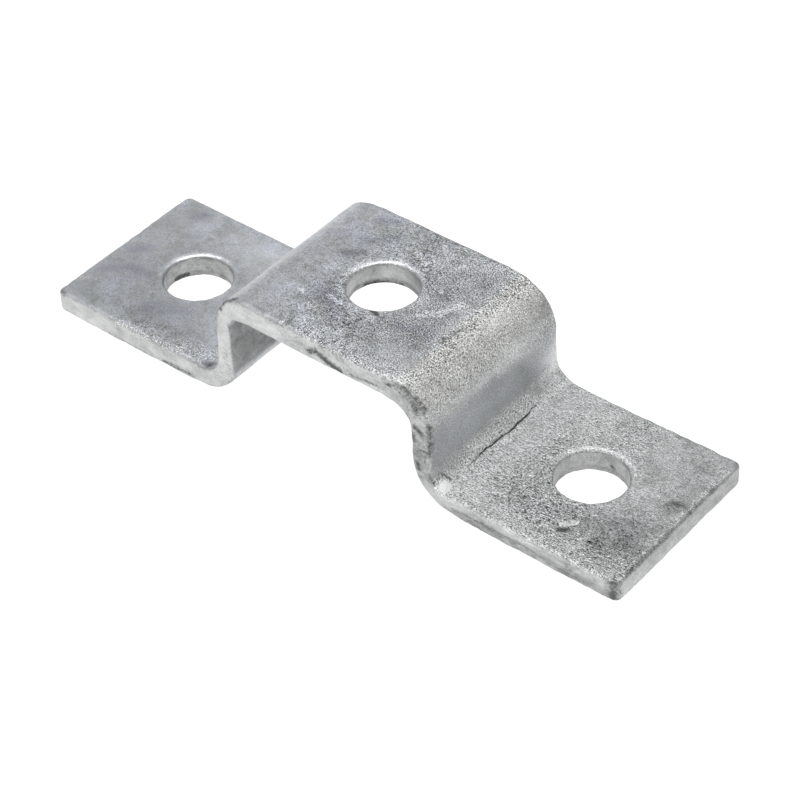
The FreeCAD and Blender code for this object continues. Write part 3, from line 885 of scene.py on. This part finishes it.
class Graph:
    """Writes a material's node tree as named layers. Lengths are in millimetres."""

    # Sockets of a Mix node: those of its share and its two colours, and that of the mixed colour.
    TO_MIX, MIXED = (0, 6, 7), 2

    def __init__(self, tree):
        self.tree = tree
        self.place = tree.nodes.new("ShaderNodeTexCoord").outputs["Object"]
        self.layers = {}

    def connect(self, value, socket):
        if isinstance(value, bpy.types.NodeSocket):
            self.tree.links.new(value, socket)
        else:
            socket.default_value = value

    def math(self, operation, a, b=0.0):
        node = self.tree.nodes.new("ShaderNodeMath")
        node.operation = operation
        for value, socket in zip((a, b), node.inputs):
            self.connect(value, socket)
        return node.outputs[0]

    def zone(self, name):
        node = self.tree.nodes.new("ShaderNodeAttribute")
        node.attribute_name = name
        return node.outputs["Fac"]

    def noise(self, wavelength, detail, roughness, stretch=(1, 1, 1), distortion=0.0):
        """Noise around 0, mostly between -0.5 and 0.5, with features about as long as the wavelength."""
        mapping = self.tree.nodes.new("ShaderNodeMapping")
        set_values(mapping, {"Scale": [1 / (wavelength * MM * share) for share in stretch]})
        self.connect(self.place, mapping.inputs["Vector"])
        node = self.tree.nodes.new("ShaderNodeTexNoise")
        set_values(node, {"Scale": 1, "Detail": detail, "Roughness": roughness, "Distortion": distortion})
        self.connect(mapping.outputs[0], node.inputs["Vector"])
        return self.math("SUBTRACT", node.outputs["Fac"], 0.5)

    def step(self, value, low, high):
        """0 at low and 1 at high and smooth between, whichever of the two is the larger."""
        node = self.tree.nodes.new("ShaderNodeMapRange")
        node.interpolation_type = "SMOOTHSTEP"
        set_values(node, {"From Min": low, "From Max": high, "To Min": 0, "To Max": 1})
        self.connect(value, node.inputs["Value"])
        return node.outputs["Result"]

    def add_layer(self, name, of, plus=0.0, between=None, times=None):
        """Adds a sum of layers, as a mask between two bounds and times another layer where given."""
        value = plus
        for part, share in of.items():
            value = self.math("ADD", self.math("MULTIPLY", self.layers[part], share), value)
        if between:
            value = self.step(value, *between)
        if times:
            value = self.math("MULTIPLY", value, self.layers[times])
        self.layers[name] = value

    def blend(self, share, a, b):
        """Mixes two colours."""
        node = self.tree.nodes.new("ShaderNodeMix")
        node.data_type = "RGBA"
        for value, socket in zip((share, a, b), self.TO_MIX):
            self.connect(value, node.inputs[socket])
        return node.outputs[self.MIXED]

    def scale_colour(self, colour, factor):
        node = self.tree.nodes.new("ShaderNodeVectorMath")
        node.operation = "SCALE"
        self.connect(colour, node.inputs[0])
        self.connect(factor, node.inputs["Scale"])
        return node.outputs[0]


SKIN_ZINC = (0.565, 0.578, 0.588, 1)
VIOLET_ZINC = (0.535, 0.552, 0.61, 1)
GREEN_ZINC = (0.55, 0.57, 0.57, 1)
RUN_ZINC = (0.99, 0.99, 0.98, 1)
WARM_ZINC = (0.565, 0.565, 0.55, 1)
CUT_ZINC = (0.53, 0.534, 0.534, 1)
SCALE_AND_SHADOW_DARK = (0.10, 0.104, 0.10, 1)
CRACK_DARK = (0.05, 0.05, 0.048, 1)

# The noises of the finish: wavelength in millimetres, detail, roughness, stretch along the axes, distortion.
NOISES = {
    "fine": (0.25, 2.0, 0.6),
    "grit": (0.55, 3.0, 0.65),
    "mottle": (1.3, 3.0, 0.6, (1, 1, 1), 0.8),
    "beaten": (0.40, 1.0, 0.5, (2.0, 0.9, 0.9), 1.0),
    "beaten_fine": (0.27, 1.0, 0.5, (2.2, 0.8, 0.8), 0.9),
    "smear": (1.6, 3.0, 0.55, (1.8, 1.0, 0.8), 0.8),
    "clouds": (7.0, 4.0, 0.6, (1, 1, 1), 0.6),
    "patches": (3.0, 3.0, 0.6),
    "wide": (13.0, 2.0, 0.5),
}

# The layers of the finish, in the order in which they build on each other, on the noises and on the zones.
# Each has the shares of the layers that it is the sum of, and the other arguments of Graph.add_layer.
LAYERS = {
    "on_cut": dict(of={"cut": 1.0, "grit": 1.6}, between=(0.38, 0.62)),
    "slate_grey": dict(of={"slate": 1.0, "mottle": 1.6, "grit": 1.3, "patches": 1.5}, between=(0.1, 1.0)),
    "greenish": dict(of={"wide": 1.0}, between=(-0.05, 0.12)),
    "clouded_violet": dict(of={"clouds": 1.0}, between=(-0.2, 0.3), times="violet"),
    "bluish": dict(of={"clouded_violet": 1.0, "slate_grey": 1.0}),

    "grainy": dict(of={"clouds": 1.2, "patches": 1.0}, plus=1.06, times="grain"),
    "coarser": dict(of={"fine_grain": -0.75}, plus=1.0),
    "coarse": dict(of={"grit": 2.7, "mottle": 2.0}, times="coarser"),
    "finer": dict(of={"fine": 1.0}, times="fine_grain"),
    "speckle": dict(of={"fine": 4.2, "finer": 2.6, "coarse": 1.0}, times="grainy"),
    "flecks": dict(of={"fine": 1.0, "grit": 0.6}, between=(0.22, 0.36), times="grainy"),
    "pits": dict(of={"grit": 1.0, "fine": 0.6}, between=(-0.2, -0.34), times="grainy"),

    "beaten_change": dict(of={"beaten_fine": 1.0, "beaten": -1.0}, times="fine_grain"),
    "relief": dict(of={"beaten": 1.0, "beaten_change": 1.0}),
    "finer_relief": dict(of={"relief": 1.0}, times="fine_grain"),
    "ridges": dict(of={"relief": 3.0, "finer_relief": 1.8}, times="hammered"),

    "worn_smears": dict(of={"smear": 1.5, "grit": 0.8}, times="worn"),
    "smears": dict(of={"smear": 0.55, "fine": 0.9, "worn_smears": 1.0}, times="on_cut"),
    "beading_and_glints": dict(of={"grit": 0.7, "fine": 1.0}, between=(0.0, 0.14), times="beads_and_glints"),
    "not_calm": dict(of={"calm": -1.0}, plus=1.0),
    "clouding": dict(of={"clouds": 0.55, "patches": 0.62}, times="not_calm"),
    "scuffed": dict(of={"scuff": 1.0, "grit": 1.2, "fine": 0.8}, between=(0.3, 0.8)),
    # The brightness holds painted light: the rim's painted highlight, the painted highlights in the beading
    # and the painted light and shade in the tone.
    "brightness": dict(
        of={"clouding": 1.0, "speckle": 1.0, "beading_and_glints": 1.0, "tone": 1.0, "ridges": 1.0, "smears": 1.0,
            "rim": 0.75, "flecks": 0.5, "pits": -0.4, "scuffed": 0.65, "slate_grey": -0.22},
        plus=1.0,
    ),

    "stained_and_shaded": dict(
        of={"stain_and_shadow": 1.0, "worn": 0.35, "grit": 2.0, "fine": 1.4, "smear": 1.6},
        between=(0.35, 1.6),
    ),
    "scale_and_shadow": dict(of={"stained_and_shaded": 0.95}),
    "run": dict(of={"zinc_run": 1.0, "grit": 2.2, "fine": 1.2}, between=(0.5, 0.8)),
    "crack_here": dict(of={"crack_open": 1.0, "patches": 0.9}, between=(0.05, 0.4)),
    "cracked": dict(
        of={"beside_crack": 1.0, "crack_open": -0.12, "grit": 0.35, "fine": 0.2},
        between=(0.10, -0.08),
        times="crack_here",
    ),

    "hammered_height": dict(of={"relief": 0.40}, times="hammered"),
    "grain_height": dict(of={"fine": 0.10}, times="grainy"),
    "rim_height": dict(of={"grit": 0.08}, times="rim"),
    "height": dict(
        of={"hammered_height": 1.0, "grain_height": 1.0, "rim_height": 1.0,
            "fine": 0.03, "patches": 0.10, "beading_and_glints": 0.05, "cracked": -0.10},
    ),
    "roughness": dict(
        of={"clouds": 0.25, "grit": 0.25, "stained_and_shaded": 0.22, "on_cut": 0.08, "rim": -0.12},
        plus=0.40,
    ),
    "metallic": dict(of={"run": -0.85}, plus=0.85),
}

# Colours over the plain skin and the layers that say where: the zinc's, which the brightness scales, and
# those of what lies on it. The dark scale also carries the painted shadows of the stains list.
ZINCS = (("greenish", GREEN_ZINC), ("bluish", VIOLET_ZINC), ("warm", WARM_ZINC), ("on_cut", CUT_ZINC))
LAID_ON = (("scale_and_shadow", SCALE_AND_SHADOW_DARK), ("run", RUN_ZINC), ("cracked", CRACK_DARK))


def new_material(name):
    material = bpy.data.materials.new(name)
    material.use_nodes = True
    return material, material.node_tree.nodes["Principled BSDF"]


def make_steel(zone_names):
    """Hot-dip zinc on steel: clouded, grainy and hammered where the zones of the mesh say so, with painted
    light and shade in its colour.
    """
    material, shader = new_material("galvanised_steel")
    graph = Graph(material.node_tree)
    for name, settings in NOISES.items():
        graph.layers[name] = graph.noise(*settings)
    for name in zone_names:
        graph.layers[name] = graph.zone(name)
    graph.layers["beside_crack"] = graph.math("ABSOLUTE", graph.layers["crack"])
    for name, recipe in LAYERS.items():
        graph.add_layer(name, **recipe)

    colour = SKIN_ZINC
    for name, zinc in ZINCS:
        colour = graph.blend(graph.layers[name], colour, zinc)
    colour = graph.scale_colour(colour, graph.layers["brightness"])
    for name, laid in LAID_ON:
        colour = graph.blend(graph.layers[name], colour, laid)

    bump = material.node_tree.nodes.new("ShaderNodeBump")
    set_values(bump, {"Distance": MM})
    graph.connect(graph.layers["height"], bump.inputs["Height"])
    graph.connect(bump.outputs[0], shader.inputs["Normal"])
    graph.connect(colour, shader.inputs["Base Color"])
    graph.connect(graph.layers["roughness"], shader.inputs["Roughness"])
    graph.connect(graph.layers["metallic"], shader.inputs["Metallic"])
    return material


# The studio, in metres and watts. A lamp has its place, its aim, its width and height, and its power.
LAMPS = (
    ("overhead_softbox", (0.2, -0.15, 0.9), (0.2, -0.15, 0), (1.3, 1.05), 9.0),
    ("front_softbox", (-0.5, -0.85, 0.42), (0, 0, 0), (1.0, 0.75), 1.2),
    ("back_strip", (-0.8, 0.6, 0.25), (0, 0, 0), (0.9, 0.4), 0.5),
)
WORLD = {"Color": (0.37, 0.375, 0.38, 1), "Strength": 1.0}
FLOOR_SIZE = 4.0
FLOOR = {
    "Base Color": (0.3, 0.3, 0.3, 1),
    "Roughness": 0.9,
    "Emission Color": (1, 1, 1, 1),
    "Emission Strength": 0.9,
}


def make_floor(under):
    """A large pale floor at the height of the bracket's lowest point."""
    bpy.ops.mesh.primitive_plane_add(size=FLOOR_SIZE, location=(0, 0, under))
    floor = bpy.context.object
    floor.name = "floor"
    material, shader = new_material("pale_floor")
    set_values(shader, FLOOR)
    floor.data.materials.append(material)
    floor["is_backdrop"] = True


def aim_object(name, data, place, aim, roll=0.0):
    """A lamp or camera at its place, turned to its aim and rolled by an angle in degrees."""
    holder = new_object(name, data)
    holder.location = place
    holder.rotation_mode = "QUATERNION"
    aimed = (Vector(aim) - Vector(place)).to_track_quat("-Z", "Y")
    holder.rotation_quaternion = aimed @ Matrix.Rotation(math.radians(roll), 3, "Z").to_quaternion()
    return holder


def make_studio():
    """The world and the soft rectangular lamps."""
    world = bpy.data.worlds.new("studio")
    bpy.context.scene.world = world
    bpy.context.scene.view_settings.view_transform = "Standard"
    world.use_nodes = True
    set_values(world.node_tree.nodes["Background"], WORLD)
    for name, place, aim, size, power in LAMPS:
        lamp = bpy.data.lights.new(name, "AREA")
        lamp.shape = "RECTANGLE"
        lamp.size, lamp.size_y = size
        lamp.energy = power
        aim_object(name, lamp, place, aim)


def make_camera():
    data = bpy.data.cameras.new("camera")
    data.lens = CAMERA_LENS
    data.sensor_width = SENSOR
    data.clip_start = CAMERA_CLIP * MM
    camera = aim_object("camera", data, CAMERA_AT * MM, CAMERA_AIM * MM, CAMERA_ROLL)
    bpy.context.scene.camera = camera


bar_mesh = build_bar()
bar = make_object(bar_mesh)
zone_names = finish_surface(bar, bar_mesh.cut)
bar.data.materials.append(make_steel(zone_names))
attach(bar, "root")
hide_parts("bracket")
make_floor(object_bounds()[0].z)
make_studio()
make_camera()
